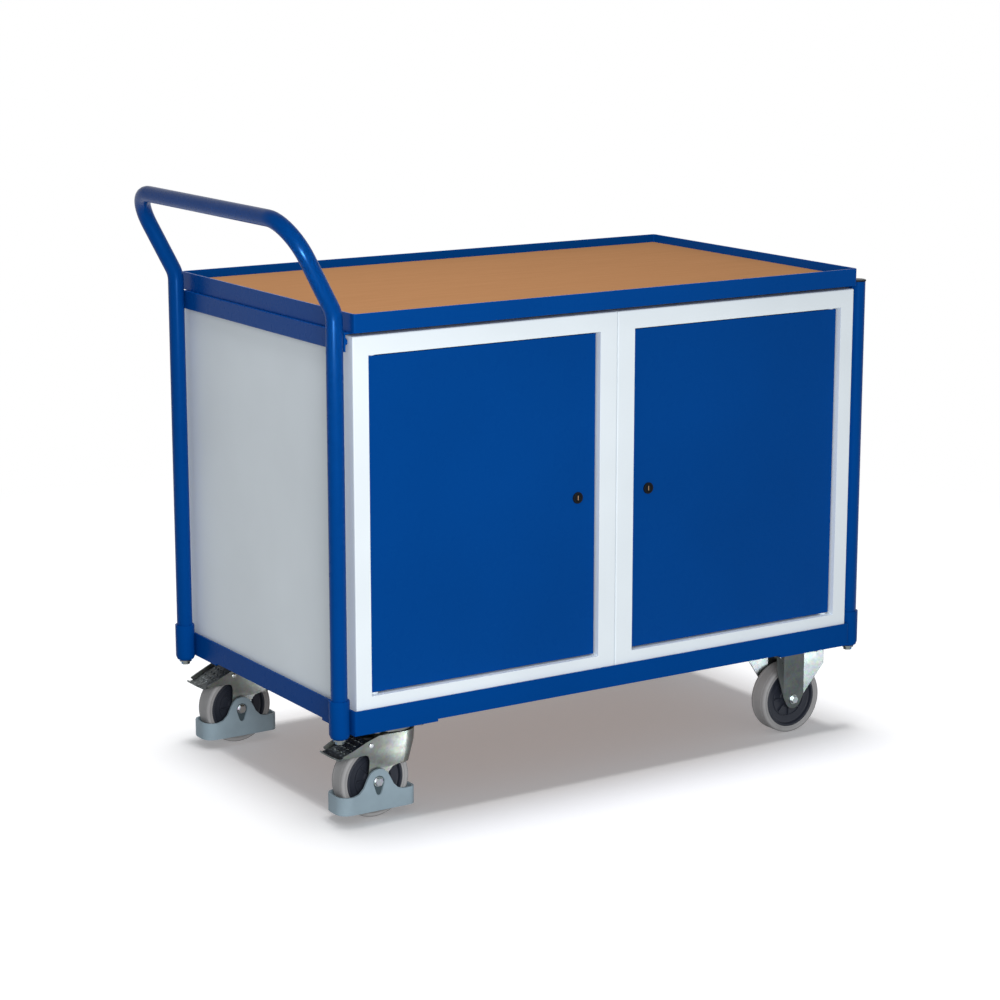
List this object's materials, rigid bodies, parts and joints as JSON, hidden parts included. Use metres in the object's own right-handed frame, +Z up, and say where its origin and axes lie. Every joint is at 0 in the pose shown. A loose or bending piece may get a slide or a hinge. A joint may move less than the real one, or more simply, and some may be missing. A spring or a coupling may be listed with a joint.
{
  "type": "workshop trolley",
  "caption": "Workshop trolley with lockable side-by-side cabinets between two platforms, a bent push handle, braked swivel casters and fixed casters.",
  "frame": {"origin": "on the floor, at the middle of the bounding box seen from above", "axes": "+X from the push handle towards the fixed casters, -Y towards the doors, +Z up"},
  "size_m": [1.148, 0.6, 0.989],
  "materials": {
    "blue_paint": "blue powder coat, slight orange peel",
    "grey_paint": "light grey powder coat",
    "deck_wood": "clear-coated wood-grain board",
    "zinc": "bright zinc plate",
    "tyre": "grey rubber tread",
    "hub_plastic": "dark moulded plastic",
    "guard_plastic": "blue-grey moulded plastic",
    "black_plastic": "black moulded plastic",
    "lock_metal": "satin plated"
  },
  "bodies": {
    "trolley": {"bottom_frame": "blue_paint", "bottom_board": "deck_wood", "handle_bow": "blue_paint", "far_post_front": "blue_paint", "far_post_rear": "blue_paint", "post_cap_front": "black_plastic", "post_cap_rear": "black_plastic", "near_cross_rail": "blue_paint", "far_cross_rail": "blue_paint", "deck_frame": "blue_paint", "deck_board": "deck_wood", "left_cabinet": "grey_paint", "left_shelf": "grey_paint", "left_hinge_pin_top": "zinc", "left_hinge_pin_bottom": "zinc", "right_cabinet": "grey_paint", "right_shelf": "grey_paint", "right_hinge_pin_top": "zinc", "right_hinge_pin_bottom": "zinc", "swivel_plate_front": "zinc", "kingpin_front": "zinc", "ball_ring_front": "zinc", "fixed_fork_front": "zinc", "fixed_axle_bolt_front": "zinc", "fixed_axle_sleeve_front": "zinc", "swivel_plate_rear": "zinc", "kingpin_rear": "zinc", "ball_ring_rear": "zinc", "fixed_fork_rear": "zinc", "fixed_axle_bolt_rear": "zinc", "fixed_axle_sleeve_rear": "zinc"},
    "left_door_leaf": {"left_door": "blue_paint", "left_lock_housing": "black_plastic"},
    "left_lock": {"left_lock_cylinder": "lock_metal", "left_lock_cam": "zinc"},
    "right_door_leaf": {"right_door": "blue_paint", "right_lock_housing": "black_plastic"},
    "right_lock": {"right_lock_cylinder": "lock_metal", "right_lock_cam": "zinc"},
    "swivel_front": {"swivel_fork_front": "zinc", "swivel_axle_bolt_front": "zinc", "swivel_axle_sleeve_front": "zinc", "foot_guard_front": "guard_plastic", "pedal_pin_front": "zinc"},
    "swivel_wheel_front": {"swivel_hub_front": "hub_plastic", "swivel_tyre_front": "tyre"},
    "pedal_front": {"brake_pedal_front": "zinc"},
    "fixed_wheel_front": {"fixed_hub_front": "hub_plastic", "fixed_tyre_front": "tyre"},
    "swivel_rear": {"swivel_fork_rear": "zinc", "swivel_axle_bolt_rear": "zinc", "swivel_axle_sleeve_rear": "zinc", "foot_guard_rear": "guard_plastic", "pedal_pin_rear": "zinc"},
    "swivel_wheel_rear": {"swivel_hub_rear": "hub_plastic", "swivel_tyre_rear": "tyre"},
    "pedal_rear": {"brake_pedal_rear": "zinc"},
    "fixed_wheel_rear": {"fixed_hub_rear": "hub_plastic", "fixed_tyre_rear": "tyre"}
  },
  "joints": [
    {"name": "left_door_hinge", "type": "hinge", "parent": "trolley", "child": "left_door_leaf", "pos_m": [-0.42216, -0.277, 0.4896], "axis": [0, 0, -1], "range_deg": [0, 100]},
    {"name": "left_lock_turn", "type": "hinge", "parent": "left_door_leaf", "child": "left_lock", "pos_m": [-0.03495, -0.27, 0.4896], "axis": [0, -1, 0], "range_deg": [0, 90]},
    {"name": "right_door_hinge", "type": "hinge", "parent": "trolley", "child": "right_door_leaf", "pos_m": [0.49484, -0.277, 0.4896], "axis": [0, 0, 1], "range_deg": [0, 100]},
    {"name": "right_lock_turn", "type": "hinge", "parent": "right_door_leaf", "child": "right_lock", "pos_m": [0.10765, -0.27, 0.4896], "axis": [0, 1, 0], "range_deg": [0, 90]},
    {"name": "swivel_front_turn", "type": "hinge", "parent": "trolley", "child": "swivel_front", "pos_m": [-0.37266, -0.24, 0.12], "axis": [0, 0, 1], "continuous": true},
    {"name": "swivel_wheel_front_roll", "type": "hinge", "parent": "swivel_front", "child": "swivel_wheel_front", "pos_m": [-0.40915, -0.24, 0.0625], "axis": [0, 1, 0], "continuous": true},
    {"name": "pedal_front_press", "type": "hinge", "parent": "swivel_front", "child": "pedal_front", "pos_m": [-0.42666, -0.24, 0.128], "axis": [0, -1, 0], "range_deg": [0, 12]},
    {"name": "fixed_wheel_front_roll", "type": "hinge", "parent": "trolley", "child": "fixed_wheel_front", "pos_m": [0.44534, -0.24, 0.0625], "axis": [0, 1, 0], "continuous": true},
    {"name": "swivel_rear_turn", "type": "hinge", "parent": "trolley", "child": "swivel_rear", "pos_m": [-0.37266, 0.24, 0.12], "axis": [0, 0, 1], "continuous": true},
    {"name": "swivel_wheel_rear_roll", "type": "hinge", "parent": "swivel_rear", "child": "swivel_wheel_rear", "pos_m": [-0.40915, 0.24, 0.0625], "axis": [0, 1, 0], "continuous": true},
    {"name": "pedal_rear_press", "type": "hinge", "parent": "swivel_rear", "child": "pedal_rear", "pos_m": [-0.42666, 0.24, 0.128], "axis": [0, -1, 0], "range_deg": [0, 12]},
    {"name": "fixed_wheel_rear_roll", "type": "hinge", "parent": "trolley", "child": "fixed_wheel_rear", "pos_m": [0.44534, 0.24, 0.0625], "axis": [0, 1, 0], "continuous": true}
  ]
}
